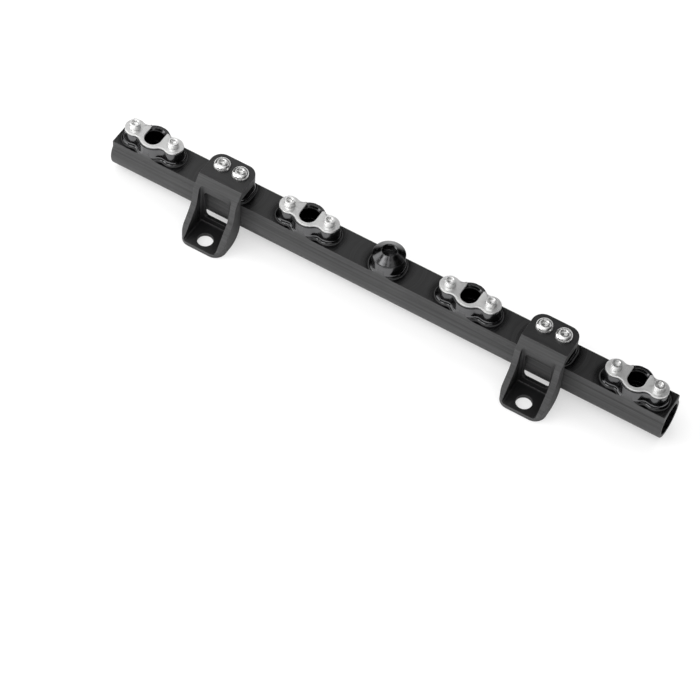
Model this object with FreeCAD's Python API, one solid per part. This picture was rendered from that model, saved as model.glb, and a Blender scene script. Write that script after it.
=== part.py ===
import FreeCAD, Part
import math
import os
from FreeCAD import Vector

# Fuel rail for one bank of a V8 engine: a round aluminium bar with a flat milled along it,
# four injector sockets, a plugged middle port, a threaded port in each end and two brackets.
# Sizes are in millimetres. X runs along the rail, Y away from the bracket feet, Z up.
# Every piece is drawn from the middle of the bar's flat. At the end all are moved so that
# the origin is midway between the two foot holes, on the face that the feet stand on.

# Engine layout
cylinder_pitch = 111.76
cylinder_count = 4
end_overhang = 24.5

# Bar: round, with a flat-topped block along its upper side
bar_dia = 25.0
flat_width = 19.85
fuel_bore_dia = 17.0

# End ports: straight thread with a coned O-ring seat at the mouth
end_thread_dia = 19.05
end_thread_depth = 16.0
end_mouth_dia = 20.6
end_seat_depth = 2.5
end_edge_break = 0.4
seat_taper_share = 0.35
drill_point_angle = 30.0

# Bosses milled on the flat, with a rounded foot all round
boss_height = 9.0
boss_fillet = 2.6
boss_oversize = 0.15
bracket_boss_length = 28.0
bracket_boss_corner = 7.5

# Injector sockets
socket_dia = 13.6
socket_depth = 11.0
socket_lead_in = 1.4
socket_lead_in_depth = 1.8
feed_hole_dia = 8.0
clip_screw_spacing = 28.0
screw_lobe_radius = 6.6
neck_radius = 5.5

# Clip plates that hold the injectors, each with a U-shaped slot
clip_thickness = 1.5
clip_centre_radius = 9.25
clip_lobe_radius = 6.4
clip_slot_width = 10.9
clip_slot_end_offset = 1.4
clip_tip_radius = 0.8

# Clip screws: socket cap screws
clip_screw_dia = 4.17
clip_screw_length = 9.5
clip_head_dia = 6.86
clip_head_height = 4.17
clip_hex = 3.57
clip_hex_depth = 2.2
clip_head_chamfer = 0.35
clip_screw_tip_chamfer = 0.4

# Bracket screws: low domed heads
bracket_screw_dia = 6.35
bracket_screw_length = 12.7
bracket_screw_spacing = 13.0
button_head_dia = 11.1
button_head_height = 3.35
button_head_rim = 0.4
button_top_dia = 5.6
button_hex = 3.97
button_hex_depth = 2.2
button_dome_bulge = 0.16
bracket_screw_tip_chamfer = 0.5

# Threads are drawn plain. A hole has the thread's outer diameter.
thread_clearance = 0.05
screw_hole_clearance = 0.25
hole_past_screw = 1.0

# Middle port and its plug
port_thread_dia = 14.29
port_thread_depth = 11.0
port_mouth_dia = 16.0
port_mouth_depth = 2.5
port_drill_dia = 10.0
plug_head_dia = 20.5
plug_seat_dia = 18.2
plug_joint_gap = 0.35
plug_rim_height = 0.85
plug_cone_height = 3.87
plug_top_dia = 9.9
plug_hex = 7.94
plug_hex_depth = 5.0
plug_shank_length = 9.9
plug_neck_dia = 12.4
plug_chamfer = 0.8
ring_height = 2.2
ring_clearance = 0.05
ring_rounding = 0.45

# Brackets, each machined from one block
bracket_width = 30.4
plate_thickness = 6.0
plate_reach = 8.7
plate_corner = 7.5
leg_gap = 0.9
web_thickness = 3.2
rib_thickness = 3.85
pocket_corner = 1.5
pocket_fillet = 1.2
window_width = 17.8
window_top = 5.0
window_bottom = -18.3
window_corner = 2.6
crease_y = -12.3
band_depth = 6.0
band_run = 5.0
shoulder_run = 1.4
shoulder_drop = 2.0
knee_run = 3.0
knee_z = -5.5
knee_radius = 22.0
toe_run = 3.6
toe_rise = 3.0
toe_radius = 4.0
foot_reach = 28.9
foot_drop = 25.4
foot_thickness = 2.6
foot_margin = 8.0
foot_corner = 7.5
foot_hole_dia = 10.2
foot_nose = 1.4
heel_radius = 11.0
armpit_radius = 1.5

# How far the cutting shapes run past the faces that they open on
cut_past = 1.0

# Worked out from the sizes above
bar_radius = bar_dia / 2
bar_axis_z = -bar_radius
half_flat = flat_width / 2
half_length = cylinder_pitch * (cylinder_count - 1) / 2 + end_overhang
injector_x = [cylinder_pitch * (i - (cylinder_count - 1) / 2) for i in range(cylinder_count)]
bracket_x = [-cylinder_pitch, cylinder_pitch]
plate_top = boss_height + plate_thickness
leg_back_y = -bar_radius - leg_gap
web_front_y = leg_back_y - web_thickness
foot_front_y = -foot_reach - foot_margin
foot_top_z = -foot_drop + foot_thickness

UP = Vector(0, 0, 1)
ALONG = Vector(1, 0, 0)


def rounded_wire(corners, place):
    """Closed outline through (u, v, radius) corners, each rounded by its own radius."""
    edges = []
    last = None
    first = None
    count = len(corners)
    for i, (u, v, radius) in enumerate(corners):
        here = Vector(u, v, 0)
        before = Vector(corners[i - 1][0], corners[i - 1][1], 0)
        after = Vector(corners[(i + 1) % count][0], corners[(i + 1) % count][1], 0)
        if radius > 0:
            back = (before - here).normalize()
            ahead = (after - here).normalize()
            half_angle = back.getAngle(ahead) / 2
            tangent = radius / math.tan(half_angle)
            middle = (back + ahead).normalize()
            centre = here + middle * (radius / math.sin(half_angle))
            start = here + back * tangent
            end = here + ahead * tangent
            summit = centre - middle * radius
        else:
            start = here
            end = here
        if last is not None and (start - last).Length > 1e-6:
            edges.append(Part.LineSegment(place(last), place(start)).toShape())
        if radius > 0:
            edges.append(Part.Arc(place(start), place(summit), place(end)).toShape())
        if first is None:
            first = start
        last = end
    if (first - last).Length > 1e-6:
        edges.append(Part.LineSegment(place(last), place(first)).toShape())
    return Part.Wire(edges)


def plan(z):
    """Places an outline's (u, v) as (x, y) at one height."""
    return lambda p: Vector(p.x, p.y, z)


def side(x):
    """Places an outline's (u, v) as (y, z) at one station along the rail."""
    return lambda p: Vector(x, p.x, p.y)


def prism(wire, direction):
    return Part.Face(wire).extrude(direction)


def upright(radius, bottom, top, x=0.0, y=0.0):
    """Upright cylinder between two heights."""
    return Part.makeCylinder(radius, top - bottom, Vector(x, y, bottom), UP)


def turned(profile, axis_x=0.0):
    """Solid turned about a vertical axis from (radius, z) points."""
    points = [Vector(r, 0, z) for r, z in profile]
    face = Part.Face(Part.makePolygon(points + points[:1]))
    solid = face.revolve(Vector(0, 0, 0), UP, 360)
    solid.translate(Vector(axis_x, 0, 0))
    return solid


def hexagon(across_flats, bottom, top):
    """Upright hexagonal prism between two heights."""
    corner = across_flats / math.sqrt(3)
    points = []
    for i in range(6):
        angle = math.radians(60 * i + 30)
        points.append(Vector(corner * math.cos(angle), corner * math.sin(angle), bottom))
    return prism(Part.makePolygon(points + points[:1]), UP * (top - bottom))


def dogbone(centre_radius, lobe_radius, lobe_x, blend_radius, z):
    """Outline of a round centre with a smaller lobe each side, joined by hollow curves."""
    to_centre = centre_radius + blend_radius
    to_lobe = lobe_radius + blend_radius
    blend_x = (to_centre ** 2 - to_lobe ** 2 + lobe_x ** 2) / (2 * lobe_x)
    blend_y = math.sqrt(to_centre ** 2 - blend_x ** 2)
    centre_point = Vector(blend_x, blend_y, 0) * (centre_radius / to_centre)
    lobe_offset = Vector(blend_x - lobe_x, blend_y, 0) * (lobe_radius / to_lobe)
    lobe_point = Vector(lobe_x, 0, 0) + lobe_offset
    hollow = Vector(blend_x, blend_y - blend_radius, 0)

    def at(point, sx, sy):
        return Vector(sx * point.x, sy * point.y, z)

    top = Vector(0, centre_radius, 0)
    tip = Vector(lobe_x + lobe_radius, 0, 0)
    arcs = []
    arcs.append((at(centre_point, -1, 1), at(top, 1, 1), at(centre_point, 1, 1)))
    arcs.append((at(centre_point, 1, 1), at(hollow, 1, 1), at(lobe_point, 1, 1)))
    arcs.append((at(lobe_point, 1, 1), at(tip, 1, 1), at(lobe_point, 1, -1)))
    arcs.append((at(lobe_point, 1, -1), at(hollow, 1, -1), at(centre_point, 1, -1)))
    arcs.append((at(centre_point, 1, -1), at(top, 1, -1), at(centre_point, -1, -1)))
    arcs.append((at(centre_point, -1, -1), at(hollow, -1, -1), at(lobe_point, -1, -1)))
    arcs.append((at(lobe_point, -1, -1), at(tip, -1, 1), at(lobe_point, -1, 1)))
    arcs.append((at(lobe_point, -1, 1), at(hollow, -1, 1), at(centre_point, -1, 1)))
    return Part.Wire([Part.Arc(*arc).toShape() for arc in arcs])


def flared_boss(outline, reach):
    """Boss on the flat with a rounded foot, milled flush with the sides of the bar."""
    root = cut_past
    margin = 2 * boss_fillet + flat_width
    base = Part.makeBox(2 * (reach + margin), 2 * margin, root, Vector(-reach - margin, -margin, -root))
    boss = base.fuse(prism(outline, UP * boss_height))
    foot_edges = []
    for edge in boss.Edges:
        box = edge.BoundBox
        inside = abs(box.XMin) < reach + margin - 0.1 and abs(box.YMin) < margin - 0.1
        if abs(box.ZMin) < 1e-6 and abs(box.ZMax) < 1e-6 and inside:
            foot_edges.append(edge)
    boss = boss.makeFillet(boss_fillet, foot_edges)
    length = reach + boss_fillet
    return boss.common(Part.makeBox(2 * length, flat_width, root + boss_height, Vector(-length, -half_flat, -root)))


def moved(shape, x):
    copy = shape.copy()
    copy.translate(Vector(x, 0, 0))
    return copy


def bar():
    """Round bar with the flat-topped block, before any hole."""
    shoulder_z = bar_axis_z + math.sqrt(bar_radius ** 2 - half_flat ** 2)
    x = -half_length
    corner_a = Vector(x, -half_flat, shoulder_z)
    corner_b = Vector(x, -half_flat, 0)
    corner_c = Vector(x, half_flat, 0)
    corner_d = Vector(x, half_flat, shoulder_z)
    edges = [
        Part.LineSegment(corner_a, corner_b).toShape(),
        Part.LineSegment(corner_b, corner_c).toShape(),
        Part.LineSegment(corner_c, corner_d).toShape(),
        Part.Arc(corner_d, Vector(x, 0, -bar_dia), corner_a).toShape(),
    ]
    solid = prism(Part.Wire(edges), ALONG * (2 * half_length))
    ends = [e for e in solid.Edges if abs(abs(e.BoundBox.XMin) - half_length) < 1e-6 and e.BoundBox.XLength < 1e-6]
    return solid.makeChamfer(end_edge_break, ends)


def end_port(direction):
    """Space of one end port: coned seat, thread and the step down to the fuel bore."""
    seat_radius = end_thread_dia / 2 + seat_taper_share * (end_mouth_dia - end_thread_dia) / 2
    thread_radius = end_thread_dia / 2
    bore_radius = fuel_bore_dia / 2
    step = thread_radius - bore_radius
    profile = [
        (0, cut_past),
        (end_mouth_dia / 2, cut_past),
        (end_mouth_dia / 2, 0),
        (seat_radius, -end_seat_depth),
        (thread_radius, -end_seat_depth - (seat_radius - thread_radius)),
        (thread_radius, -end_thread_depth),
        (bore_radius, -end_thread_depth - step * math.tan(math.radians(drill_point_angle))),
        (0, -end_thread_depth - step * math.tan(math.radians(drill_point_angle))),
    ]
    space = turned(profile)
    space.rotate(Vector(0, 0, 0), Vector(0, 1, 0), 90 * direction)
    space.translate(Vector(direction * half_length, 0, bar_axis_z))
    return space


def injector_socket(x):
    """Space of one injector socket with its lead-in and the feed hole to the fuel bore."""
    radius = socket_dia / 2
    floor = boss_height - socket_depth
    profile = [
        (0, boss_height + cut_past),
        (radius + socket_lead_in, boss_height + cut_past),
        (radius + socket_lead_in, boss_height),
        (radius, boss_height - socket_lead_in_depth),
        (radius, floor),
        (feed_hole_dia / 2, floor),
        (feed_hole_dia / 2, bar_axis_z),
        (0, bar_axis_z),
    ]
    return turned(profile, x)


def screw_hole(dia, depth, x):
    """Blind threaded hole from the top of a boss, with a drill point."""
    radius = dia / 2
    bottom = boss_height - depth
    profile = [
        (0, boss_height + cut_past),
        (radius, boss_height + cut_past),
        (radius, bottom),
        (0, bottom - radius * math.tan(math.radians(drill_point_angle))),
    ]
    return turned(profile, x)


def middle_port():
    """Space of the middle port, from its O-ring seat down to the fuel bore."""
    mouth = port_mouth_dia / 2
    thread = port_thread_dia / 2
    drill = port_drill_dia / 2
    profile = [
        (0, boss_height + cut_past),
        (mouth, boss_height + cut_past),
        (mouth, boss_height - port_mouth_depth),
        (thread, boss_height - port_mouth_depth - (mouth - thread)),
        (thread, boss_height - port_thread_depth),
        (drill, boss_height - port_thread_depth),
        (drill, bar_axis_z),
        (0, bar_axis_z),
    ]
    return turned(profile)


def rail_body():
    centre_radius = half_flat + boss_oversize
    lobe_x = clip_screw_spacing / 2
    lobe_reach = lobe_x + screw_lobe_radius
    injector_boss = flared_boss(dogbone(centre_radius, screw_lobe_radius, lobe_x, neck_radius, 0), lobe_reach)
    half_boss = bracket_boss_length / 2
    corners = [(sx * half_boss, sy * centre_radius, bracket_boss_corner)
               for sx, sy in ((-1, -1), (1, -1), (1, 1), (-1, 1))]
    bracket_boss = flared_boss(rounded_wire(corners, plan(0)), half_boss)
    plug_boss = flared_boss(Part.Wire(Part.makeCircle(centre_radius)), centre_radius)

    bosses = [moved(injector_boss, x) for x in injector_x]
    bosses += [moved(bracket_boss, x) for x in bracket_x]
    bosses.append(plug_boss)
    body = bar().multiFuse(bosses).removeSplitter()

    holes = [Part.makeCylinder(fuel_bore_dia / 2, 2 * half_length, Vector(-half_length, 0, bar_axis_z), ALONG)]
    holes += [end_port(-1), end_port(1), middle_port()]
    for x in injector_x:
        holes.append(injector_socket(x))
        for sign in (-1, 1):
            depth = clip_screw_length - clip_thickness + hole_past_screw
            holes.append(screw_hole(clip_screw_dia, depth, x + sign * lobe_x))
    for x in bracket_x:
        for sign in (-1, 1):
            depth = bracket_screw_length - plate_thickness + hole_past_screw
            holes.append(screw_hole(bracket_screw_dia, depth, x + sign * bracket_screw_spacing / 2))
    return body.cut(holes)


def clip_plate(x):
    """Flat clip with a U-shaped slot that opens away from the brackets' feet."""
    bottom = boss_height
    lobe_x = clip_screw_spacing / 2
    plate = prism(dogbone(clip_centre_radius, clip_lobe_radius, lobe_x, neck_radius, bottom), UP * clip_thickness)
    half_slot = clip_slot_width / 2
    far = clip_centre_radius + cut_past
    round_end = upright(half_slot, bottom, bottom + clip_thickness, 0, -clip_slot_end_offset)
    mouth = Part.makeBox(clip_slot_width, far + clip_slot_end_offset, clip_thickness,
                         Vector(-half_slot, -clip_slot_end_offset, bottom))
    plate = plate.cut([round_end, mouth])
    tips = [e for e in plate.Edges if e.BoundBox.ZLength > clip_thickness / 2
            and abs(abs(e.BoundBox.XMin) - half_slot) < 1e-4 and e.BoundBox.YMin > 0]
    plate = plate.makeFillet(clip_tip_radius, tips)
    hole_radius = clip_screw_dia / 2 + screw_hole_clearance
    for sign in (-1, 1):
        plate = plate.cut(upright(hole_radius, bottom, bottom + clip_thickness, sign * lobe_x))
    return moved(plate, x)


def clip_screw(x):
    """Socket cap screw seated on the clip plate."""
    seat = boss_height + clip_thickness
    top = seat + clip_head_height
    shank = clip_screw_dia / 2 - thread_clearance
    head = clip_head_dia / 2
    tip = seat - clip_screw_length
    profile = [
        (0, tip),
        (shank - clip_screw_tip_chamfer, tip),
        (shank, tip + clip_screw_tip_chamfer),
        (shank, seat),
        (head, seat),
        (head, top - clip_head_chamfer),
        (head - clip_head_chamfer, top),
        (0, top),
    ]
    return moved(turned(profile).cut(hexagon(clip_hex, top - clip_hex_depth, top + cut_past)), x)


def bracket_screw(x):
    """Button head screw seated on the bracket's plate."""
    seat = plate_top
    top = seat + button_head_height
    shank = bracket_screw_dia / 2 - thread_clearance
    head = button_head_dia / 2
    crown = button_top_dia / 2
    tip = seat - bracket_screw_length
    rim = Vector(head, 0, seat + button_head_rim)
    flat = Vector(crown, 0, top)
    chord = flat - rim
    bulge = button_dome_bulge * chord.Length
    summit = (rim + flat) * 0.5 + Vector(-chord.z, 0, chord.x).normalize() * -bulge
    outline = [
        Vector(crown, 0, top),
        Vector(0, 0, top),
        Vector(0, 0, tip),
        Vector(shank - bracket_screw_tip_chamfer, 0, tip),
        Vector(shank, 0, tip + bracket_screw_tip_chamfer),
        Vector(shank, 0, seat),
        Vector(head, 0, seat),
        rim,
    ]
    edges = [Part.LineSegment(a, b).toShape() for a, b in zip(outline, outline[1:])]
    edges.append(Part.Arc(rim, summit, flat).toShape())
    screw = Part.Face(Part.Wire(edges)).revolve(Vector(0, 0, 0), UP, 360)
    return moved(screw.cut(hexagon(button_hex, top - button_hex_depth, top + cut_past)), x)


def port_plug():
    """Plug of the middle port: low cone with a hexagon socket, a neck for the ring, a shank."""
    seat = boss_height
    rim_bottom = seat + plug_joint_gap
    rim_top = rim_bottom + plug_rim_height
    top = rim_top + plug_cone_height
    shank = port_thread_dia / 2 - thread_clearance
    tip = seat - plug_shank_length
    neck_bottom = seat - port_mouth_depth
    neck = plug_neck_dia / 2
    profile = [
        (0, tip),
        (shank - plug_chamfer, tip),
        (shank, tip + plug_chamfer),
        (shank, neck_bottom - (shank - neck)),
        (neck, neck_bottom),
        (neck, seat),
        (plug_seat_dia / 2, seat),
        (plug_seat_dia / 2, rim_bottom),
        (plug_head_dia / 2, rim_bottom),
        (plug_head_dia / 2, rim_top),
        (plug_top_dia / 2, top),
        (0, top),
    ]
    return turned(profile).cut(hexagon(plug_hex, top - plug_hex_depth, top + cut_past))


def plug_o_ring():
    """Sealing ring squeezed into the port's mouth round the plug's neck."""
    inner = plug_neck_dia / 2 + ring_clearance
    outer = port_mouth_dia / 2 - ring_clearance
    top = boss_height - ring_clearance
    bottom = top - ring_height
    radius = ring_rounding * (outer - inner)
    corners = [(inner, bottom, radius), (outer, bottom, radius), (outer, top, radius), (inner, top, radius)]
    wire = rounded_wire(corners, lambda p: Vector(p.x, 0, p.y))
    return Part.Face(wire).revolve(Vector(0, 0, 0), UP, 360)


def bracket(x):
    """Z-shaped bracket: plate on the boss, webbed leg past the bar, foot with one hole."""
    half = bracket_width / 2
    band_y = crease_y - band_run
    band_z = plate_top - band_depth
    profile = [
        (plate_reach, boss_height, 0),
        (plate_reach, plate_top, 0),
        (crease_y, plate_top, 0),
        (band_y, band_z, 0),
        (band_y - shoulder_run, band_z - shoulder_drop, 0),
        (band_y - shoulder_run - knee_run, knee_z, knee_radius),
        (foot_front_y + toe_run, foot_top_z + toe_rise, toe_radius),
        (foot_front_y, foot_top_z, foot_nose),
        (foot_front_y, -foot_drop, 0),
        (leg_back_y, -foot_drop, heel_radius),
        (leg_back_y, boss_height, armpit_radius),
    ]
    blank = prism(rounded_wire(profile, side(-half)), ALONG * bracket_width)
    footprint = [
        (half, plate_reach, plate_corner),
        (-half, plate_reach, plate_corner),
        (-half, foot_front_y, foot_corner),
        (half, foot_front_y, foot_corner),
    ]
    depth = plate_top + foot_drop
    blank = blank.common(prism(rounded_wire(footprint, plan(-foot_drop)), UP * depth))

    inner = half - rib_thickness
    far = foot_front_y - pocket_corner
    pocket_plan = [
        (inner, web_front_y, pocket_corner),
        (-inner, web_front_y, pocket_corner),
        (-inner, far, 0),
        (inner, far, 0),
    ]
    pocket = prism(rounded_wire(pocket_plan, plan(foot_top_z)), UP * (plate_top - foot_top_z))
    floor_edges = [e for e in pocket.Edges if e.BoundBox.ZLength < 1e-6
                   and abs(e.BoundBox.ZMin - foot_top_z) < 1e-6 and e.BoundBox.YMax > far + 0.1]
    pocket = pocket.makeFillet(pocket_fillet, floor_edges)

    half_window = window_width / 2
    window_outline = [
        (half_window, window_bottom, window_corner),
        (half_window, window_top, window_corner),
        (-half_window, window_top, window_corner),
        (-half_window, window_bottom, window_corner),
    ]
    window_front = web_front_y - cut_past
    window = prism(rounded_wire(window_outline, lambda p: Vector(p.x, window_front, p.y)),
                   Vector(0, web_thickness + 2 * cut_past, 0))

    holes = [pocket, window, upright(foot_hole_dia / 2, -foot_drop, foot_top_z + toe_rise, 0, -foot_reach)]
    hole_radius = bracket_screw_dia / 2 + screw_hole_clearance
    for sign in (-1, 1):
        holes.append(upright(hole_radius, boss_height, plate_top, sign * bracket_screw_spacing / 2))
    return moved(blank.cut(holes), x)


def pieces():
    named = {"rail_body": rail_body(), "port_plug": port_plug(), "plug_o_ring": plug_o_ring()}
    for i, x in enumerate(injector_x):
        named["clip_plate_%d" % (i + 1)] = clip_plate(x)
        named["clip_screw_%d_left" % (i + 1)] = clip_screw(x - clip_screw_spacing / 2)
        named["clip_screw_%d_right" % (i + 1)] = clip_screw(x + clip_screw_spacing / 2)
    for i, x in enumerate(bracket_x):
        named["bracket_%d" % (i + 1)] = bracket(x)
        named["bracket_screw_%d_left" % (i + 1)] = bracket_screw(x - bracket_screw_spacing / 2)
        named["bracket_screw_%d_right" % (i + 1)] = bracket_screw(x + bracket_screw_spacing / 2)
    return named


os.makedirs("parts", exist_ok=True)
for name, shape in pieces().items():
    shape.translate(Vector(0, foot_reach, foot_drop))
    shape.exportStep("parts/%s.step" % name)
    print(name, shape.isValid(), len(shape.Solids), round(shape.Volume, 1))
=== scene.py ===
import math

import bmesh
import bpy
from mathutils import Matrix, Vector


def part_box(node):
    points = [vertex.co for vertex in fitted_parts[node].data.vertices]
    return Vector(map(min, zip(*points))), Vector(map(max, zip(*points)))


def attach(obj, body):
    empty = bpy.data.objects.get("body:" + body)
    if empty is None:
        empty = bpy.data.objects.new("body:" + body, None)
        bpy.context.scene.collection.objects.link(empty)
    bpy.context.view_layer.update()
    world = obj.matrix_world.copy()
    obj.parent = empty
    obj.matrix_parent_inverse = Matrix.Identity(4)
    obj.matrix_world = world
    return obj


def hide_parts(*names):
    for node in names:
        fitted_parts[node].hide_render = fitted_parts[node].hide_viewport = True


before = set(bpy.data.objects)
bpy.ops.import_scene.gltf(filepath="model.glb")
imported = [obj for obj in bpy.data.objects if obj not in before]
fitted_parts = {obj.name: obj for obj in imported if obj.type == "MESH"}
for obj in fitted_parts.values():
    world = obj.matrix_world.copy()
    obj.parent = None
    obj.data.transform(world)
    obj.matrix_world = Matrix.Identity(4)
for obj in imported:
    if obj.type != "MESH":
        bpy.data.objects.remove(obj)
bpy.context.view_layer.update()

# The rail: a round bar of aluminium with a flat-topped block along its upper side.
# Bosses, sockets and ports are milled and bored from the solid, then the whole bar
# is hard anodised black. The cutter leaves arcs on the flat and streaks on the sides.
# The film's colour is painted: darker on level tops and lighter on the sides as shade and light,
# and black inside the bore, the sockets and the corners by the bosses as shade.
MM = 0.001
rail_low, rail_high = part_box("rail_body")
bar_radius = 12.5 * MM
rail_axis_y = (rail_low.y + rail_high.y) / 2
rail_axis_z = rail_low.z + bar_radius
rail_flat_z = rail_axis_z + bar_radius
boss_face_z = rail_high.z
socket_pitch = 111.76 * MM
boss_spacing = socket_pitch / 2
boss_wall_half = 9.7 * MM
boss_flush_fade = 3.0 * MM
port_mouth_radius = 10.25 * MM
socket_mouth_radius = 8.4 * MM
socket_lead_in = 1.2 * MM
rail_corner_shade_reach = 8.0 * MM
shaded_black = (0.003, 0.003, 0.0033, 1.0)
shaded_top_rubbed = (0.017, 0.017, 0.0175, 1.0)
lit_side_black = (0.028, 0.028, 0.0285, 1.0)
lit_side_rubbed = (0.071, 0.071, 0.072, 1.0)
shaded_foot_black = (0.026, 0.026, 0.0265, 1.0)
bright_black = (0.12, 0.12, 0.123, 1.0)
bare_edge = (0.12, 0.12, 0.123, 1.0)
anodise_ior = 1.5
mark_depth = 0.012 * MM


def shop_group(name, inputs, outputs):
    """Empty shader group with named number and vector sockets."""
    kinds = {"number": "NodeSocketFloat", "vector": "NodeSocketVector"}
    group = bpy.data.node_groups.new(name, "ShaderNodeTree")
    for label, kind, start in inputs:
        socket = group.interface.new_socket(label, in_out="INPUT", socket_type=kinds[kind])
        if start is not None:
            socket.default_value = start
    for label, kind in outputs:
        group.interface.new_socket(label, in_out="OUTPUT", socket_type=kinds[kind])
    given = group.nodes.new("NodeGroupInput").outputs
    return group, given, group.nodes.new("NodeGroupOutput").inputs


def wire_in(tree, socket, value):
    """Sets a socket, or links it where the value is another socket."""
    if isinstance(value, bpy.types.NodeSocket):
        tree.links.new(value, socket)
    else:
        socket.default_value = value


def figure(tree, operation, *values):
    """One step of arithmetic on numbers or sockets."""
    node = tree.nodes.new("ShaderNodeMath")
    node.operation = operation
    for socket, value in zip(node.inputs, values):
        wire_in(tree, socket, value)
    return node.outputs[0]


def weighted(tree, first, first_weight, second, second_weight):
    """Sum of two values, each by its own weight."""
    return figure(tree, "ADD", figure(tree, "MULTIPLY", first, first_weight),
                  figure(tree, "MULTIPLY", second, second_weight))


def distance_out(tree, first, second):
    """Distance from an axis, from the two offsets across it."""
    squares = figure(tree, "ADD", figure(tree, "POWER", first, 2.0),
                     figure(tree, "POWER", second, 2.0))
    return figure(tree, "SQRT", squares)


def split(tree, vector):
    """The X, Y and Z of a vector."""
    node = tree.nodes.new("ShaderNodeSeparateXYZ")
    tree.links.new(vector, node.inputs[0])
    return node.outputs


def join(tree, x, y=0.0, z=0.0):
    """A vector from its X, Y and Z."""
    node = tree.nodes.new("ShaderNodeCombineXYZ")
    for socket, value in zip(node.inputs, (x, y, z)):
        wire_in(tree, socket, value)
    return node.outputs[0]


def stretch(tree, vector, scale):
    """The same coordinates, scaled by its own amount along each axis."""
    node = tree.nodes.new("ShaderNodeVectorMath")
    node.operation = "MULTIPLY"
    wire_in(tree, node.inputs[0], vector)
    wire_in(tree, node.inputs[1], scale)
    return node.outputs[0]


def cloud(tree, vector, scale, detail=2.0, roughness=0.5):
    """Soft noise over the given coordinates."""
    node = tree.nodes.new("ShaderNodeTexNoise")
    wire_in(tree, node.inputs["Vector"], vector)
    wire_in(tree, node.inputs["Scale"], scale)
    node.inputs["Detail"].default_value = detail
    node.inputs["Roughness"].default_value = roughness
    return node.outputs["Fac"]


def remap(tree, value, from_low, from_high, to_low=0.0, to_high=1.0):
    """A value moved from one range to another, and held inside it."""
    node = tree.nodes.new("ShaderNodeMapRange")
    node.clamp = True
    for socket, number in zip(node.inputs, (value, from_low, from_high, to_low, to_high)):
        wire_in(tree, socket, number)
    return node.outputs[0]


def between(tree, share, first, second):
    """Colour between two others by a 0 to 1 share."""
    node = tree.nodes.new("ShaderNodeMix")
    node.data_type = "RGBA"
    wire_in(tree, node.inputs[0], share)
    wire_in(tree, node.inputs[6], first)
    wire_in(tree, node.inputs[7], second)
    return node.outputs[2]


def broken_edge_group():
    """Edges broken with a deburring tool: a softened normal and a mask of the rubbed corner."""
    group, given, out = shop_group(
        "broken edges",
        [("Edge Width", "number", 0.3 * MM), ("Rub", "number", 1.0)],
        [("Normal", "vector"), ("Rubbed", "number")])
    rounded = group.nodes.new("ShaderNodeBevel")
    rounded.samples = 6
    group.links.new(given["Edge Width"], rounded.inputs["Radius"])
    flat = group.nodes.new("ShaderNodeNewGeometry")
    compare = group.nodes.new("ShaderNodeVectorMath")
    compare.operation = "DOT_PRODUCT"
    group.links.new(rounded.outputs[0], compare.inputs[0])
    group.links.new(flat.outputs["Normal"], compare.inputs[1])
    turned_away = remap(group, compare.outputs["Value"], 0.995, 0.80)
    patchy = remap(group, cloud(group, flat.outputs["Position"], 900.0), 0.35, 0.65, 0.4, 1.0)
    worn = figure(group, "MULTIPLY", turned_away, patchy)
    group.links.new(rounded.outputs[0], out["Normal"])
    group.links.new(figure(group, "MULTIPLY", worn, given["Rub"]), out["Rubbed"])
    return group


def cutter_arc_group():
    """Arcs that an end mill leaves as it runs round evenly spaced bosses on a flat face."""
    group, given, out = shop_group(
        "cutter arcs",
        [("Place", "vector", None), ("Boss Spacing", "number", boss_spacing),
         ("Middle Y", "number", rail_axis_y), ("Step", "number", 1.1 * MM)],
        [("Arcs", "number"), ("Sheen", "number")])
    parts = split(group, given["Place"])
    half = figure(group, "MULTIPLY", given["Boss Spacing"], 0.5)
    along = figure(group, "WRAP", parts["X"], half, figure(group, "MULTIPLY", half, -1.0))
    radius = distance_out(group, along, figure(group, "SUBTRACT", parts["Y"], given["Middle Y"]))
    waver = figure(group, "MULTIPLY", cloud(group, given["Place"], 90.0), 0.6 * MM)
    turns = figure(group, "DIVIDE", figure(group, "ADD", radius, waver), given["Step"])
    feed_marks = figure(group, "SINE", figure(group, "MULTIPLY", turns, 2 * math.pi))
    scratch = cloud(group, stretch(group, given["Place"], (1.0, 1.0, 0.0)), 60.0)
    lines = join(group, figure(group, "MULTIPLY", radius, 2600.0), scratch)
    steps = cloud(group, lines, 1.0, 3.0)
    arcs = figure(group, "ADD", figure(group, "MULTIPLY", feed_marks, 0.18), steps)
    group.links.new(arcs, out["Arcs"])
    group.links.new(remap(group, steps, 0.32, 0.68), out["Sheen"])
    return group


def drawn_streak_group():
    """Fine streaks along one direction, from a drawn bar or a long milling pass."""
    group, given, out = shop_group(
        "drawn streaks",
        [("Place", "vector", None), ("Fineness", "vector", (6.0, 900.0, 900.0))],
        [("Streaks", "number"), ("Broad", "number")])
    drawn = stretch(group, given["Place"], given["Fineness"])
    thin = cloud(group, drawn, 1.0, 3.0, 0.6)
    wide = cloud(group, drawn, 0.3, 3.0)
    group.links.new(thin, out["Streaks"])
    group.links.new(remap(group, weighted(group, thin, 0.75, wide, 0.25), 0.38, 0.62), out["Broad"])
    return group


def uneven_skin_group():
    """Uneven skin left by an anodising bath or a tumbler: soft patches and a fine grain."""
    group, given, out = shop_group(
        "uneven skin",
        [("Place", "vector", None), ("Patch Scale", "number", 35.0),
         ("Grain Scale", "number", 3200.0)],
        [("Patches", "number"), ("Grain", "number")])
    patches = cloud(group, given["Place"], given["Patch Scale"], 3.0)
    grain = cloud(group, given["Place"], given["Grain Scale"], 1.0)
    group.links.new(remap(group, patches, 0.3, 0.7), out["Patches"])
    group.links.new(grain, out["Grain"])
    return group


broken_edges = broken_edge_group()
cutter_arcs = cutter_arc_group()
drawn_streaks = drawn_streak_group()
uneven_skin = uneven_skin_group()


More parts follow.
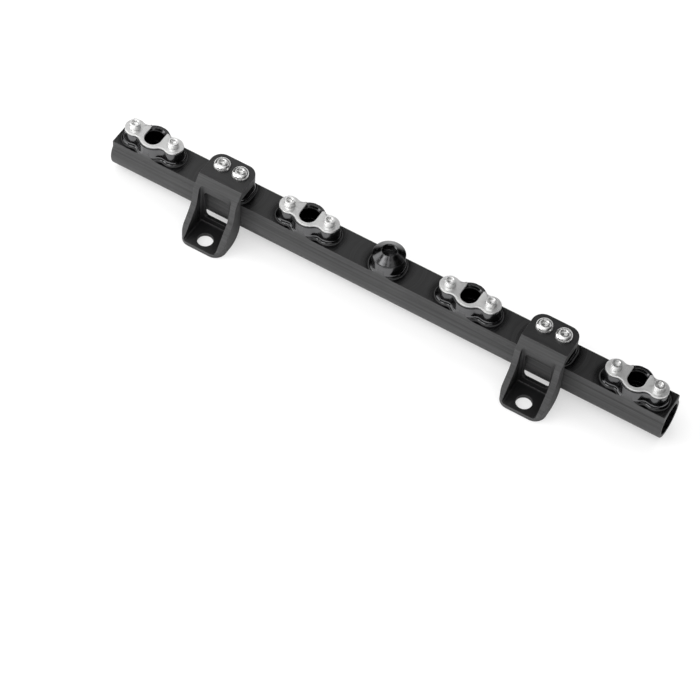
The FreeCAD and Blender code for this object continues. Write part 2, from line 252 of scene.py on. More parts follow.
def new_finish(name):
    """Material with its node tree, the inputs of its shader and the piece's own coordinates."""
    material = bpy.data.materials.new(name)
    material.use_nodes = True
    tree = material.node_tree
    shader = tree.nodes["Principled BSDF"]
    place = tree.nodes.new("ShaderNodeTexCoord").outputs["Object"]
    return material, tree, shader.inputs, place


def placed(tree, group, **values):
    """A group node in a material, with its inputs set by name."""
    node = tree.nodes.new("ShaderNodeGroup")
    node.node_tree = group
    for label, value in values.items():
        wire_in(tree, node.inputs[label.replace("_", " ")], value)
    return node.outputs


def relief(tree, shader, height, depth, normal=None):
    """Bump of a given depth in metres, on a softened normal where one is given."""
    node = tree.nodes.new("ShaderNodeBump")
    node.inputs["Strength"].default_value = 1.0
    node.inputs["Distance"].default_value = depth
    wire_in(tree, node.inputs["Height"], height)
    if normal is not None:
        wire_in(tree, node.inputs["Normal"], normal)
    wire_in(tree, shader["Normal"], node.outputs[0])


def facing_up(tree, least=0.96, most=0.995):
    """How far a face looks up: 1 on a level top, 0 on a side."""
    normal = tree.nodes.new("ShaderNodeNewGeometry").outputs["Normal"]
    return remap(tree, split(tree, normal)["Z"], least, most)


def corner_shade_mask(tree, reach):
    """1 in corners where a face meets a wall, fading to 0 at about the given reach: the mask of
    painted corner shade.
    """
    node = tree.nodes.new("ShaderNodeAmbientOcclusion")
    node.samples = 8
    node.only_local = True
    node.inputs["Distance"].default_value = reach
    return remap(tree, node.outputs["AO"], 0.74, 0.96, 1.0, 0.0)


def bore_shade_mask(tree, place):
    """1 on the walls of the fuel bore and the end ports, where the film is painted black and
    unreflecting as the shade inside them.
    """
    parts = split(tree, place)
    off_y = figure(tree, "SUBTRACT", parts["Y"], rail_axis_y)
    off_z = figure(tree, "SUBTRACT", parts["Z"], rail_axis_z)
    fade_end = port_mouth_radius + 0.13 * MM
    return remap(tree, distance_out(tree, off_y, off_z), port_mouth_radius, fade_end, 1.0, 0.0)


def socket_shade_mask(tree, place):
    """1 below the lead-ins of the injector sockets, where the film is painted black and
    unreflecting as the shade inside them.
    """
    parts = split(tree, place)
    wrapped = figure(tree, "WRAP", parts["X"], socket_pitch, 0.0)
    along = figure(tree, "SUBTRACT", wrapped, socket_pitch / 2)
    across = figure(tree, "SUBTRACT", parts["Y"], rail_axis_y)
    lead_in_end = boss_face_z - socket_lead_in
    deep = remap(tree, parts["Z"], lead_in_end - 0.4 * MM, lead_in_end, 1.0, 0.0)
    narrow = remap(tree, distance_out(tree, along, across),
                   socket_mouth_radius, socket_mouth_radius + 0.15 * MM, 1.0, 0.0)
    return figure(tree, "MULTIPLY", deep, narrow)


def boss_walls(tree, place):
    """1 on the ball-milled walls and rounded feet of the bosses, fading down their flush faces."""
    parts = split(tree, place)
    above = remap(tree, parts["Z"], rail_flat_z + 0.02 * MM, rail_flat_z + 0.25 * MM)
    off_axis = figure(tree, "ABSOLUTE", figure(tree, "SUBTRACT", parts["Y"], rail_axis_y))
    inside = remap(tree, off_axis, boss_wall_half, boss_wall_half + 0.2 * MM, 1.0, 0.0)
    flush = remap(tree, parts["Z"], rail_flat_z, boss_face_z - boss_flush_fade)
    return figure(tree, "MULTIPLY", above, figure(tree, "MAXIMUM", inside, flush))


def milled_film(tree, top, arcs, streaks, skin, lit_side_dull, lit_side_bright):
    """Colour, roughness and height of anodised faces: arcs on level tops, streaks below them, with
    the tops painted darker as shade and the sides lighter as light.
    """
    below = figure(tree, "SUBTRACT", 1.0, top)
    marks = weighted(tree, arcs["Arcs"], top, streaks["Streaks"], below)
    lay = weighted(tree, arcs["Sheen"], top, streaks["Broad"], below)
    rub = figure(tree, "MULTIPLY", remap(tree, skin["Patches"], 0.0, 1.0, 0.55, 1.0), lay)
    # Painted light and shade: one film takes a dark colour on level tops and a lighter one on the
    # sides.
    colour = between(tree, top, between(tree, rub, lit_side_dull, lit_side_bright),
                     between(tree, rub, shaded_black, shaded_top_rubbed))
    satin = remap(tree, top, 0.0, 1.0, 0.50, 0.30)
    uneven = figure(tree, "ADD", lay, skin["Grain"])
    rough = figure(tree, "ADD", satin, figure(tree, "MULTIPLY", uneven, 0.07))
    return colour, rough, weighted(tree, marks, 0.85, skin["Grain"], 0.15)


def rail_finish():
    """Black film over milled faces, brighter on the boss walls, with painted shade: black inside
    the bore, the sockets and the corners, darker on level tops and on the bosses' feet.
    """
    material, tree, shader, place = new_finish("hard anodised bar")
    edges = placed(tree, broken_edges, Edge_Width=0.3 * MM, Rub=0.7)
    arcs = placed(tree, cutter_arcs, Place=place, Boss_Spacing=boss_spacing,
                  Middle_Y=rail_axis_y, Step=1.3 * MM)
    streaks = placed(tree, drawn_streaks, Place=place, Fineness=(9.0, 1100.0, 1100.0))
    skin = placed(tree, uneven_skin, Place=place)
    top = facing_up(tree)
    colour, rough, height = milled_film(tree, top, arcs, streaks, skin, lit_side_black, lit_side_rubbed)

    mouths = socket_shade_mask(tree, place)
    bore = bore_shade_mask(tree, place)
    # Painted shade: the flat turns black and unreflecting in the corners by the bosses.
    corner = figure(tree, "MULTIPLY", corner_shade_mask(tree, rail_corner_shade_reach), top)
    painted_shade = figure(tree, "MAXIMUM", figure(tree, "MAXIMUM", bore, mouths), corner)
    walls = figure(tree, "MULTIPLY", boss_walls(tree, place),
                   figure(tree, "SUBTRACT", 1.0, top))
    walls = figure(tree, "MULTIPLY", walls, figure(tree, "SUBTRACT", 1.0, mouths))
    steep = figure(tree, "SUBTRACT", 1.0, facing_up(tree, 0.50, 0.85))

    # Painted shade: black, unreflecting film inside the bore, the sockets and the corners.
    colour = between(tree, painted_shade, colour, shaded_black)
    # The boss walls take a brighter reflecting film; their rounded feet, as they turn upward, are
    # painted darker as shade.
    colour = between(tree, walls, colour, between(tree, steep, shaded_foot_black, bright_black))
    wire_in(tree, shader["Base Color"], between(tree, edges["Rubbed"], colour, bare_edge))
    wire_in(tree, shader["Metallic"], figure(tree, "MAXIMUM", walls, painted_shade))

    high_up = remap(tree, split(tree, place)["Z"], boss_face_z - 0.05 * MM, boss_face_z)
    boss_top = figure(tree, "MULTIPLY", high_up, top)
    polished = figure(tree, "MAXIMUM", figure(tree, "MAXIMUM", walls, boss_top),
                      figure(tree, "MAXIMUM", corner, bore))
    wire_in(tree, shader["Roughness"], remap(tree, polished, 0.0, 1.0, rough, 0.15))
    smoothed = figure(tree, "MULTIPLY", height, remap(tree, walls, 0.0, 1.0, 1.0, 0.25))
    relief(tree, shader, smoothed, mark_depth, edges["Normal"])
    shader["IOR"].default_value = anodise_ior
    return material


def dress(piece, material):
    """Gives a piece its finish."""
    piece.data.materials.clear()
    piece.data.materials.append(material)


hard_anodised_bar = rail_finish()
dress(fitted_parts["rail_body"], hard_anodised_bar)

# End port threads: a 3/4-16 straight thread is cut in each end of the bar for a hose
# fitting. The ridges stand in from the bored wall and are anodised with the bar.
bar_half_length = rail_high.x
port_wall_radius = 9.525 * MM
thread_pitch = 1.5875 * MM
thread_depth = 0.95 * MM
thread_first = 3.6 * MM
thread_turns = 7.5
thread_run_out = 0.6


def finished_piece(name, mesh, sharp=30.0):
    """Turns a bmesh into a shown piece with crisp edges above the given angle."""
    bmesh.ops.recalc_face_normals(mesh, faces=mesh.faces)
    data = bpy.data.meshes.new(name)
    mesh.to_mesh(data)
    mesh.free()
    data.shade_smooth()
    data.set_sharp_from_angle(angle=math.radians(sharp))
    piece = bpy.data.objects.new(name, data)
    bpy.context.scene.collection.objects.link(piece)
    return piece


def port_thread(name, direction):
    """Helical ridge that tapers out at both ends of the thread."""
    steps_per_turn = 64
    steps = int(steps_per_turn * thread_turns)
    run_out_steps = steps_per_turn * thread_run_out
    root = port_wall_radius + 0.02 * MM
    mesh = bmesh.new()
    rows = []
    for i in range(steps + 1):
        angle = 2 * math.pi * i / steps_per_turn
        depth_in = thread_first + thread_pitch * i / steps_per_turn
        fullness = min(1.0, i / run_out_steps, (steps - i) / run_out_steps)
        crest = port_wall_radius - thread_depth * fullness
        row = []
        for share, radius in ((-0.46, root), (-0.09, crest), (0.09, crest), (0.46, root)):
            x = direction * (bar_half_length - depth_in - share * thread_pitch)
            y = rail_axis_y + radius * math.cos(angle)
            z = rail_axis_z + radius * math.sin(angle)
            row.append(mesh.verts.new((x, y, z)))
        rows.append(row)
    for here, after in zip(rows, rows[1:]):
        for k in range(4):
            mesh.faces.new((here[k], here[(k + 1) % 4], after[(k + 1) % 4], after[k]))
    mesh.faces.new(rows[0])
    mesh.faces.new(reversed(rows[-1]))
    return finished_piece(name, mesh)


for direction, side_name in ((-1, "left"), (1, "right")):
    thread = port_thread("end_port_thread_" + side_name, direction)
    dress(thread, hard_anodised_bar)
    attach(thread, "root")

# Injector clips: stamped from stainless sheet 1.5 mm thick and tumbled, so the faces
# are satin with fine specks and the edges rolled. Each lies on a socket's boss, with
# a U-shaped slot that locks into the groove of the injector's inlet neck.
clip_thickness = 1.5 * MM
clip_edge_roll = 0.22 * MM
clip_screw_offset = 14.0 * MM
clip_hole_radius = 4.67 * MM / 2
clip_grey = (0.64, 0.64, 0.635, 1.0)
clip_speck = (0.79, 0.79, 0.785, 1.0)
clip_patch = (0.74, 0.74, 0.735, 1.0)
clip_rim = (0.78, 0.78, 0.775, 1.0)


def middle_x(node):
    """Where a fitted part's middle lies along the rail."""
    near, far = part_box(node)
    return (near.x + far.x) / 2


def arc_points(centre, radius, start, end, count):
    """Points of an arc from one angle to another, in degrees."""
    points = []
    for i in range(count + 1):
        angle = math.radians(start + (end - start) * i / count)
        points.append((centre[0] + radius * math.cos(angle), centre[1] + radius * math.sin(angle)))
    return points


def clip_outline():
    """Outline of a clip: round middle, two lobes joined by hollow curves, slot open to the back."""
    middle, lobe, hollow = 9.25 * MM, 6.4 * MM, 5.5 * MM
    half_slot, slot_end, tip = 5.45 * MM, -1.4 * MM, 0.8 * MM
    reach_middle, reach_lobe = middle + hollow, lobe + hollow
    hollow_x = reach_middle ** 2 - reach_lobe ** 2 + clip_screw_offset ** 2
    hollow_x /= 2 * clip_screw_offset
    hollow_y = math.sqrt(reach_middle ** 2 - hollow_x ** 2)
    to_hollow = math.degrees(math.atan2(hollow_y, hollow_x))
    from_lobe = math.degrees(math.atan2(hollow_y, hollow_x - clip_screw_offset))
    tip_x = half_slot + tip
    tip_y = math.sqrt((middle - tip) ** 2 - tip_x ** 2)
    tip_angle = math.degrees(math.atan2(tip_y, tip_x))
    right = []
    right += arc_points((0, slot_end), half_slot, -90, 0, 14)
    right += arc_points((tip_x, tip_y), tip, 180, tip_angle, 8)
    right += arc_points((0, 0), middle, tip_angle, to_hollow, 6)[1:]
    right += arc_points((hollow_x, hollow_y), hollow, 180 + to_hollow, 180 + from_lobe, 12)[1:]
    right += arc_points((clip_screw_offset, 0), lobe, from_lobe, -from_lobe, 40)[1:]
    right += arc_points((hollow_x, -hollow_y), hollow, 180 - from_lobe, 180 - to_hollow, 12)[1:]
    right += arc_points((0, 0), middle, -to_hollow, -90, 14)[1:]
    left = [(-x, y) for x, y in reversed(right)]
    return right[:-1] + left[:-1]


def clip_plate(name, station):
    """Sheet with rolled edges, filled between its outline and the two screw holes."""
    sheet = bpy.data.curves.new(name + "_outline", "CURVE")
    sheet.dimensions = "2D"
    sheet.fill_mode = "BOTH"
    sheet.extrude = clip_thickness / 2 - clip_edge_roll
    sheet.bevel_depth = clip_edge_roll
    sheet.bevel_resolution = 3
    sheet.offset = -clip_edge_roll
    hole_points = 40
    last_angle = 360 - 360 / hole_points
    loops = [clip_outline()]
    for sign in (-1, 1):
        centre = (sign * clip_screw_offset, 0)
        loops.append(arc_points(centre, clip_hole_radius, 0, last_angle, hole_points - 1))
    for loop in loops:
        spline = sheet.splines.new("POLY")
        spline.points.add(len(loop) - 1)
        for point, (x, y) in zip(spline.points, loop):
            point.co = (x, y, 0, 1)
        spline.use_cyclic_u = True
    holder = bpy.data.objects.new(name + "_holder", sheet)
    bpy.context.scene.collection.objects.link(holder)
    bpy.context.view_layer.update()
    filled = holder.evaluated_get(bpy.context.evaluated_depsgraph_get())
    data = bpy.data.meshes.new_from_object(filled)
    bpy.data.objects.remove(holder)
    bpy.data.curves.remove(sheet)
    mesh = bmesh.new()
    mesh.from_mesh(data)
    bpy.data.meshes.remove(data)
    bmesh.ops.remove_doubles(mesh, verts=mesh.verts, dist=0.002 * MM)
    piece = finished_piece(name, mesh, sharp=40.0)
    piece.location = (station, rail_axis_y, boss_face_z + clip_thickness / 2)
    return piece


def clip_finish():
    """Tumbled stainless: pale satin grey, fine specks and a brighter rolled edge."""
    material, tree, shader, place = new_finish("tumbled stainless sheet")
    edges = placed(tree, broken_edges, Edge_Width=0.2 * MM, Rub=0.7)
    skin = placed(tree, uneven_skin, Place=place, Patch_Scale=160.0, Grain_Scale=2600.0)
    specks = remap(tree, skin["Grain"], 0.35, 0.65)
    colour = between(tree, specks, clip_grey, clip_speck)
    colour = between(tree, figure(tree, "MULTIPLY", skin["Patches"], 0.5), colour, clip_patch)
    wire_in(tree, shader["Base Color"], between(tree, edges["Rubbed"], colour, clip_rim))
    wire_in(tree, shader["Roughness"], remap(tree, specks, 0.0, 1.0, 0.50, 0.38))
    shader["Metallic"].default_value = 1.0
    relief(tree, shader, skin["Grain"], 0.02 * MM, edges["Normal"])
    return material


tumbled_stainless = clip_finish()
socket_stations = [middle_x("clip_plate_%d" % number) for number in range(1, 5)]
for number, station in enumerate(socket_stations, 1):
    clip = clip_plate("injector_clip_%d" % number, station)
    dress(clip, tumbled_stainless)
    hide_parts("clip_plate_%d" % number)
    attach(clip, "root")

# Clip screws: number 8 socket cap screws of stainless steel, cold headed, with a
# knurled side, a rounded rim and a broached hexagon. Two hold each injector clip.
clip_face_z = boss_face_z + clip_thickness
cap_screw_dull = (0.74, 0.74, 0.735, 1.0)
cap_screw_bright = (0.87, 0.87, 0.865, 1.0)
screw_rim_bright = (0.82, 0.82, 0.815, 1.0)


def round_ring(radius):
    """The same radius at every angle."""
    return lambda angle: radius


def hex_ring(across_flats):
    """Radius of a hexagon at an angle, with a flat towards the rail's length."""
    def radius(angle):
        turned = (angle + math.pi / 6) % (math.pi / 3) - math.pi / 6
        return across_flats / 2 / math.cos(turned)
    return radius


def knurl_ring(radius, depth, flutes):
    """Radius round a knurled side, which dips between its flutes."""
    return lambda angle: radius - depth * (0.5 - 0.5 * math.cos(flutes * angle))


def turned_piece(name, stations, centre, count, sharp=32.0):
    """Skin over rings of (radius rule, height or height rule), closed with a point at each end."""
    mesh = bmesh.new()
    rows = []
    for rule, z in stations:
        row = []
        for i in range(count):
            angle = 2 * math.pi * i / count
            radius = rule(angle)
            level = z(angle) if callable(z) else z
            row.append(mesh.verts.new((radius * math.cos(angle), radius * math.sin(angle), level)))
        rows.append(row)
    for here, after in zip(rows, rows[1:]):
        for i in range(count):
            j = (i + 1) % count
            mesh.faces.new((here[i], here[j], after[j], after[i]))
    for row, z in ((rows[0], stations[0][1]), (rows[-1], stations[-1][1])):
        middle = mesh.verts.new((0, 0, z))
        for i in range(count):
            mesh.faces.new((row[i], row[(i + 1) % count], middle))
    piece = finished_piece(name, mesh, sharp)
    piece.location = centre
    return piece


def wrench_socket(across_flats, top, depth, drill_depth):
    """Rings of a broached hexagon: countersunk mouth, flat walls and a drilled bottom."""
    mouth = across_flats / 2 / math.cos(math.pi / 6) + 0.12 * MM
    walls = hex_ring(across_flats)
    return [
        (round_ring(mouth), top),
        (walls, lambda angle: top - (mouth - walls(angle))),
        (walls, top - depth),
        (round_ring(across_flats / 2 - 0.05 * MM), top - depth),
        (round_ring(0.15 * MM), top - drill_depth),
    ]


def cap_screw(name, centre):
    """Cap screw from its tip to the bottom of its hexagon, drawn from under the head."""
    shank, tip, tip_taper = 2.035 * MM, -9.5 * MM, 0.4 * MM
    head, height, rim, under_edge = 3.43 * MM, 4.17 * MM, 0.35 * MM, 0.15 * MM
    knurl = knurl_ring(head, 0.09 * MM, 32)
    knurl_low, knurl_high, knurl_fade = 0.6 * MM, 3.25 * MM, 0.15 * MM
    stations = [
        (round_ring(shank - tip_taper), tip),
        (round_ring(shank), tip + tip_taper),
        (round_ring(shank), 0.0),
        (round_ring(head - under_edge), 0.0),
        (round_ring(head), under_edge),
        (round_ring(head), knurl_low - knurl_fade),
        (knurl, knurl_low),
        (knurl, knurl_high),
        (round_ring(head), knurl_high + knurl_fade),
        (round_ring(head), height - rim),
    ]
    for share in (0.3, 0.6, 0.9):
        lean = share * math.pi / 2
        in_by, down_by = rim * (1 - math.cos(lean)), rim * (1 - math.sin(lean))
        stations.append((round_ring(head - in_by), height - down_by))
    stations.append((round_ring(head - rim * 1.05), height))
    stations += wrench_socket(3.57 * MM, height, depth=2.2 * MM, drill_depth=2.9 * MM)
    return turned_piece(name, stations, centre, count=192, sharp=40.0)


def turning_ring_group():
    """Rings left by a lathe tool round a piece's own upright axis."""
    group, given, out = shop_group(
        "turning rings",
        [("Place", "vector", None), ("Ring Step", "number", 0.2 * MM)],
        [("Rings", "number"), ("Bands", "number")])
    parts = split(group, given["Place"])
    outward = figure(group, "ADD", distance_out(group, parts["X"], parts["Y"]), parts["Z"])
    rings = join(group, figure(group, "DIVIDE", outward, given["Ring Step"]))
    group.links.new(cloud(group, rings, 1.0, 2.0), out["Rings"])
    group.links.new(remap(group, cloud(group, rings, 0.16, 1.0), 0.35, 0.65), out["Bands"])
    return group


turning_rings = turning_ring_group()


def screw_finish(name, dull, bright, rough_low, rough_high, depth):
    """Stainless steel of a screw, turned marks on the head and a brighter rubbed rim."""
    material, tree, shader, place = new_finish(name)
    edges = placed(tree, broken_edges, Edge_Width=0.15 * MM, Rub=0.8)
    rings = placed(tree, turning_rings, Place=place, Ring_Step=0.12 * MM)
    skin = placed(tree, uneven_skin, Place=place, Patch_Scale=220.0, Grain_Scale=3000.0)
    steel = between(tree, figure(tree, "MULTIPLY", skin["Patches"], rings["Bands"]), dull, bright)
    wire_in(tree, shader["Base Color"], between(tree, edges["Rubbed"], steel, screw_rim_bright))
    rough = remap(tree, skin["Patches"], 0.0, 1.0, rough_low, rough_high)
    wire_in(tree, shader["Roughness"], rough)
    shader["Metallic"].default_value = 1.0
    height = weighted(tree, rings["Rings"], 0.7, skin["Grain"], 0.3)
    relief(tree, shader, height, depth, edges["Normal"])
    return material


satin_screw_steel = screw_finish(
    "satin cap screw steel", cap_screw_dull, cap_screw_bright,
    rough_low=0.24, rough_high=0.34, depth=0.008 * MM)
for number, station in enumerate(socket_stations, 1):
    for sign, side_name in ((-1, "left"), (1, "right")):
        screw = cap_screw("clip_cap_screw_%d_%s" % (number, side_name),
                          (station + sign * clip_screw_offset, rail_axis_y, clip_face_z))
        dress(screw, satin_screw_steel)
        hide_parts("clip_screw_%d_%s" % (number, side_name))
        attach(screw, "root")

# Brackets: each milled from one block of aluminium. The plate bolts to its boss, the
# webbed leg passes in front of the bar, and the foot takes one bolt. Faces carry the
# end mill's marks, and the whole bracket is anodised with the same black film.
# The bracket's sides are painted lighter than its tops as light, and its corners darker as shade.
bracket_corner_shade_reach = 14.0 * MM
bracket_shade_black = (0.004, 0.004, 0.0044, 1.0)
lit_bracket_dull = (0.032, 0.032, 0.0325, 1.0)
lit_bracket_rubbed = (0.064, 0.064, 0.065, 1.0)


def bracket_finish():
    """Black film over milled faces, with painted shade in the corners of the leg and sides painted
    lighter than tops.
    """
    material, tree, shader, place = new_finish("hard anodised bracket")
    edges = placed(tree, broken_edges, Edge_Width=0.35 * MM, Rub=0.7)
    arcs = placed(tree, cutter_arcs, Place=place, Boss_Spacing=socket_pitch,
                  Middle_Y=-6.0 * MM, Step=1.1 * MM)
    streaks = placed(tree, drawn_streaks, Place=place, Fineness=(25.0, 900.0, 900.0))
    skin = placed(tree, uneven_skin, Place=place, Patch_Scale=55.0)
    colour, rough, height = milled_film(
        tree, facing_up(tree), arcs, streaks, skin, lit_bracket_dull, lit_bracket_rubbed)
    # Painted shade: the film turns near black in the leg's corners.
    colour = between(tree, corner_shade_mask(tree, bracket_corner_shade_reach), colour, bracket_shade_black)
    wire_in(tree, shader["Base Color"], between(tree, edges["Rubbed"], colour, bare_edge))
    wire_in(tree, shader["Roughness"], rough)
    relief(tree, shader, height, mark_depth, edges["Normal"])
    shader["IOR"].default_value = anodise_ior
    return material


hard_anodised_bracket = bracket_finish()
for number in (1, 2):
    dress(fitted_parts["bracket_%d" % number], hard_anodised_bracket)

# Bracket screws: quarter inch button heads of bright stainless steel, two through each
# bracket's plate. The domed head is turned and the hexagon broached.
bracket_face_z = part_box("bracket_1")[1].z
bracket_stations = [middle_x("bracket_%d" % number) for number in (1, 2)]
bracket_screw_offset = 6.5 * MM
button_screw_dull = (0.66, 0.66, 0.655, 1.0)
button_screw_bright = (0.76, 0.76, 0.755, 1.0)


def button_screw(name, centre):
    """Button head screw from its tip to the bottom of its hexagon, drawn from under the head."""
    shank, length, tip_taper = 3.125 * MM, 12.7 * MM, 0.5 * MM
    head, height, under_edge = 5.55 * MM, 3.35 * MM, 0.12 * MM
    rim, crown, dome_steps, dome_bulge = 0.4 * MM, 2.8 * MM, 14, 0.16
    stations = [
        (round_ring(shank - tip_taper), -length),
        (round_ring(shank), tip_taper - length),
        (round_ring(shank), 0.0),
        (round_ring(head - under_edge), 0.0),
        (round_ring(head), under_edge),
    ]
    chord = Vector((crown - head, height - rim))
    outward = Vector((chord.y, -chord.x)).normalized()
    for i in range(dome_steps + 1):
        share = i / dome_steps
        lift = outward * dome_bulge * chord.length * (1 - (2 * share - 1) ** 2)
        radius = head + chord.x * share + lift.x
        stations.append((round_ring(radius), rim + chord.y * share + lift.y))
    stations += wrench_socket(3.97 * MM, height, depth=2.2 * MM, drill_depth=2.9 * MM)
    return turned_piece(name, stations, centre, count=96)


bright_screw_steel = screw_finish(
    "bright button screw steel", button_screw_dull, button_screw_bright,
    rough_low=0.22, rough_high=0.32, depth=0.006 * MM)
for number, station in enumerate(bracket_stations, 1):
    for sign, side_name in ((-1, "left"), (1, "right")):
        screw = button_screw("bracket_button_screw_%d_%s" % (number, side_name),
                             (station + sign * bracket_screw_offset, rail_axis_y, bracket_face_z))
        dress(screw, bright_screw_steel)
        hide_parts("bracket_screw_%d_%s" % (number, side_name))
        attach(screw, "root")

# Middle port plug: turned from aluminium with a low cone and a broached hexagon, and
# anodised glossy black. Its neck squeezes a rubber ring into the mouth of the port.
plug_black = (0.05, 0.05, 0.051, 1.0)
plug_sheen = (0.085, 0.085, 0.087, 1.0)
plug_edge_wear_and_glint = (0.30, 0.30, 0.305, 1.0)
rubber_black = (0.012, 0.012, 0.012, 1.0)
rubber_bloom = (0.03, 0.03, 0.03, 1.0)


def middle_plug(name, centre):
    """Plug from shank tip to cone, drawn from the boss's top."""
    shank, shank_tip, tip_taper = 7.095 * MM, -9.9 * MM, 0.8 * MM
    neck, neck_low, seat = 6.2 * MM, -2.5 * MM, 9.1 * MM
    head, rim_low, rim_high, under_edge = 10.25 * MM, 0.35 * MM, 1.2 * MM, 0.12 * MM
    crown, top = 4.95 * MM, 5.07 * MM
    stations = [
        (round_ring(shank - tip_taper), shank_tip),
        (round_ring(shank), shank_tip + tip_taper),
        (round_ring(shank), neck_low - (shank - neck)),
        (round_ring(neck), neck_low),
        (round_ring(neck), 0.0),
        (round_ring(seat), 0.0),
        (round_ring(seat), rim_low),
        (round_ring(head - under_edge), rim_low),
        (round_ring(head), rim_low + under_edge),
        (round_ring(head), rim_high - 0.15 * MM),
        (round_ring(head - 0.08 * MM), rim_high + 0.03 * MM),
    ]
    cone_foot, foot_z = head - 0.1 * MM, rim_high + 0.06 * MM
    cone_end, end_z = crown + 0.02 * MM, top - 0.06 * MM
    for share in (0.02, 0.06, 0.3, 0.6, 0.9, 0.97):
        radius = cone_foot + (cone_end - cone_foot) * share
        stations.append((round_ring(radius), foot_z + (end_z - foot_z) * share))
    stations.append((round_ring(crown - 0.1 * MM), top))
    stations += wrench_socket(7.94 * MM, top, depth=5.0 * MM, drill_depth=5.6 * MM)
    return turned_piece(name, stations, centre, count=144)


def plug_finish():
    """Glossy anodised turning: near black, with fine rings that fan the light over the cone."""
    material, tree, shader, place = new_finish("gloss anodised plug")
    edges = placed(tree, broken_edges, Edge_Width=0.3 * MM, Rub=0.8)
    rings = placed(tree, turning_rings, Place=place, Ring_Step=0.1 * MM)
    skin = placed(tree, uneven_skin, Place=place, Patch_Scale=90.0)
    sheen = figure(tree, "MULTIPLY", rings["Bands"], skin["Patches"])
    colour = between(tree, sheen, plug_black, plug_sheen)
    # Edges are lighter, partly as wear and partly as painted glints on the rim of the hexagon.
    wire_in(tree, shader["Base Color"], between(tree, edges["Rubbed"], colour, plug_edge_wear_and_glint))
    wire_in(tree, shader["Roughness"], remap(tree, rings["Bands"], 0.0, 1.0, 0.14, 0.22))
    shader["Metallic"].default_value = 1.0
    relief(tree, shader, rings["Rings"], 0.004 * MM, edges["Normal"])
    return material


def rubber_finish():
    """Moulded rubber of the plug's ring: matte black with a faint bloom."""
    material, tree, shader, place = new_finish("seal rubber")
    skin = placed(tree, uneven_skin, Place=place, Patch_Scale=300.0, Grain_Scale=4000.0)
    colour = between(tree, skin["Patches"], rubber_black, rubber_bloom)
    wire_in(tree, shader["Base Color"], colour)
    wire_in(tree, shader["Roughness"], remap(tree, skin["Grain"], 0.0, 1.0, 0.6, 0.8))
    relief(tree, shader, skin["Grain"], 0.01 * MM)
    return material


plug = middle_plug("middle_port_plug", (0, rail_axis_y, boss_face_z))
dress(plug, plug_finish())
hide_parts("port_plug")
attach(plug, "root")
dress(fitted_parts["plug_o_ring"], rubber_finish())

# The photographer's table: white seamless paper that keeps the soft shadow, in a white
# surround. Soft boxes hang in front, at the left and behind, and black cloth round
# them and about the table keeps stray light out of the metal.
paper_half_width = 4.0
paper_level = -0.2 * MM
paper_shade = (0.93, 0.93, 0.93, 1.0)
paper_light = (0.95, 0.95, 0.95, 1.0)
paper_glow = 0.44
paper_white = 1.04
surround_lighting = 0.88
rim_border = 0.16
rim_gap = 0.004
cloth_black = (0.003, 0.003, 0.003, 1.0)
cloth_thread = (0.008, 0.008, 0.008, 1.0)
rail_middle = (0, 0.02, 0.02)
cards_aim = (0.1, 0.02, 0.02)
sheet_distance = 2.3
sheet_floor_gap = 0.1


def rectangle_corners(mesh, width, height, level):
    """Corners of a rectangle about the middle of its own plane, in order."""
    signs = ((-1, -1), (1, -1), (1, 1), (-1, 1))
    return [mesh.verts.new((sx * width / 2, sy * height / 2, level)) for sx, sy in signs]


def flat_sheet(name, width, height, level=0.0):
    """Plain rectangle of paper or cloth."""
    mesh = bmesh.new()
    mesh.faces.new(rectangle_corners(mesh, width, height, level))
    return finished_piece(name, mesh)


def paper_finish():
    """White paper: plain to the light, and lifted towards white for the camera."""
    material, tree, shader, place = new_finish("pale seamless paper")
    shader["Roughness"].default_value = 0.9
    shader["Specular IOR Level"].default_value = 0.1
    fibres = cloud(tree, place, 3.0)
    wire_in(tree, shader["Base Color"], between(tree, fibres, paper_shade, paper_light))
    white = tree.nodes.new("ShaderNodeEmission")
    white.inputs["Strength"].default_value = paper_white
    blend = tree.nodes.new("ShaderNodeMixShader")
    seen = tree.nodes.new("ShaderNodeLightPath").outputs["Is Camera Ray"]
    wire_in(tree, blend.inputs[0], figure(tree, "MULTIPLY", seen, paper_glow))
    tree.links.new(tree.nodes["Principled BSDF"].outputs[0], blend.inputs[1])
    tree.links.new(white.outputs[0], blend.inputs[2])
    tree.links.new(blend.outputs[0], tree.nodes["Material Output"].inputs["Surface"])
    return material


def white_surround(lighting):
    """White to the camera and in reflections, and a lower plain level as a light."""
    world = bpy.data.worlds.new("white surround")
    bpy.context.scene.world = world
    world.use_nodes = True
    tree = world.node_tree
    background = tree.nodes["Background"]
    background.inputs["Color"].default_value = (1.0, 1.0, 1.0, 1.0)
    ray = tree.nodes.new("ShaderNodeLightPath").outputs
    seen = figure(tree, "MAXIMUM", ray["Is Camera Ray"], ray["Is Glossy Ray"])
    seen = figure(tree, "MAXIMUM", seen, ray["Is Transmission Ray"])
    wire_in(tree, background.inputs["Strength"], remap(tree, seen, 0.0, 1.0, lighting, 1.0))


def cloth_finish():
    """Black cloth, all but flat, with the faint cloud of its weave."""
    material, tree, shader, place = new_finish("black cloth")
    weave = cloud(tree, place, 400.0)
    wire_in(tree, shader["Base Color"], between(tree, weave, cloth_black, cloth_thread))
    shader["Roughness"].default_value = 0.95
    return material


def turned_towards(place, aim):
    """Turn that points the underside of a lamp or sheet at a place."""
    return (Vector(aim) - Vector(place)).to_track_quat("-Z", "Y").to_euler()


def soft_box(name, place, aim, width, height, watts):
    """Soft box: a plain rectangle of light."""
    lamp = bpy.data.lights.new(name, "AREA")
    lamp.shape = "RECTANGLE"
    lamp.size = width
    lamp.size_y = height
    lamp.energy = watts
    box = bpy.data.objects.new(name, lamp)
    box.location = place
    box.rotation_euler = turned_towards(place, aim)
    bpy.context.scene.collection.objects.link(box)
    return box


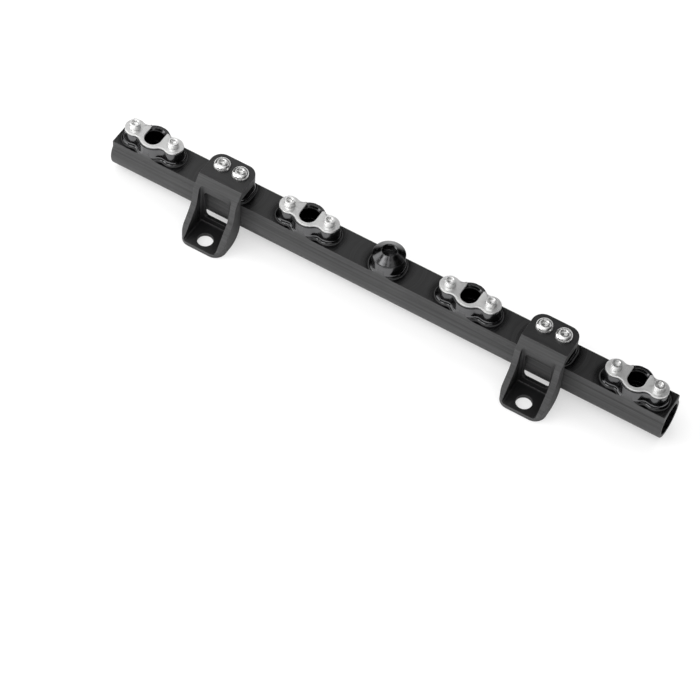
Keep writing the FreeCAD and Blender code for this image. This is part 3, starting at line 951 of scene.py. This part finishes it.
def seen_in_metal_only(piece):
    """Black cloth that shows in reflections, and neither in the picture nor as a shadow."""
    piece.visible_camera = False
    piece.visible_diffuse = False
    piece.visible_shadow = False
    piece.data.materials.append(black_cloth)


def black_rim(name, box, width, height):
    """Border of black cloth round a soft box."""
    mesh = bmesh.new()
    inner = rectangle_corners(mesh, width, height, rim_gap)
    outer = rectangle_corners(mesh, width + 2 * rim_border, height + 2 * rim_border, rim_gap)
    for i in range(4):
        j = (i + 1) % 4
        mesh.faces.new((inner[i], inner[j], outer[j], outer[i]))
    rim = finished_piece(name, mesh)
    rim.location = box.location
    rim.rotation_euler = box.rotation_euler
    seen_in_metal_only(rim)


def black_sheet(name, place, aim, width, height):
    """Black cloth on a frame, hung outside the picture."""
    sheet = flat_sheet(name, width, height)
    sheet.location = place
    sheet.rotation_euler = turned_towards(place, aim)
    seen_in_metal_only(sheet)


floor = flat_sheet("table_floor", 2 * paper_half_width, 2 * paper_half_width, paper_level)
floor.data.materials.append(paper_finish())
white_surround(surround_lighting)
black_cloth = cloth_finish()
for name, place, width, height, watts in (
        ("key_box", (-0.28, -0.60, 1.52), 1.8, 1.0, 8.0),
        ("left_box", (-0.95, -0.42, 0.50), 0.9, 0.6, 5.5)):
    box = soft_box(name, place, rail_middle, width, height, watts)
    black_rim(name + "_rim", box, width, height)
glint_box = soft_box("glint_box", (-0.40, -0.95, 1.10), rail_middle,
                     width=0.60, height=0.30, watts=3.5)
glint_box.visible_diffuse = False
shadow_box = soft_box("shadow_box", (0.0, 0.90, 1.45), rail_middle,
                      width=0.7, height=0.6, watts=4.0)
shadow_box.visible_glossy = False
black_sheet("overhead_card", (0.22, 0.75, 1.35), cards_aim, width=1.1, height=0.9)
black_sheet("right_card", (1.25, 0.05, 0.95), cards_aim, width=1.5, height=0.9)
for name, x, y, middle in (
        ("front_sheet", 0, -sheet_distance, 0.75), ("right_sheet", sheet_distance, 0, 1.0),
        ("left_sheet", -sheet_distance, 0, 1.0), ("back_sheet", 0, sheet_distance, 0.7)):
    height = 2 * (middle - sheet_floor_gap)
    black_sheet(name, (x, y, middle), (0, 0, middle), 2 * sheet_distance, height)
black_sheet("camera_card", (0.16, -0.87, 1.12), rail_middle, width=0.16, height=0.5)

# The camera: a long lens on a stand above the front of the rail and to its right. It
# is tipped down at the rail, turned to the left and leaning a little to one side.
camera_place = (0.43573, -0.86911, 1.30945)
camera_tilt, camera_lean, camera_heading = 35.8849, -2.8252, 30.8473
camera = bpy.data.objects.new("photo_camera", bpy.data.cameras.new("photo_camera"))
camera.data.sensor_width = 36.0
camera.data.lens = 139.07
camera.data.clip_end = 20.0
camera.location = camera_place
camera.rotation_euler = [math.radians(t) for t in (camera_tilt, camera_lean, camera_heading)]
bpy.context.scene.collection.objects.link(camera)
bpy.context.scene.camera = camera
bpy.context.scene.view_settings.view_transform = "Standard"
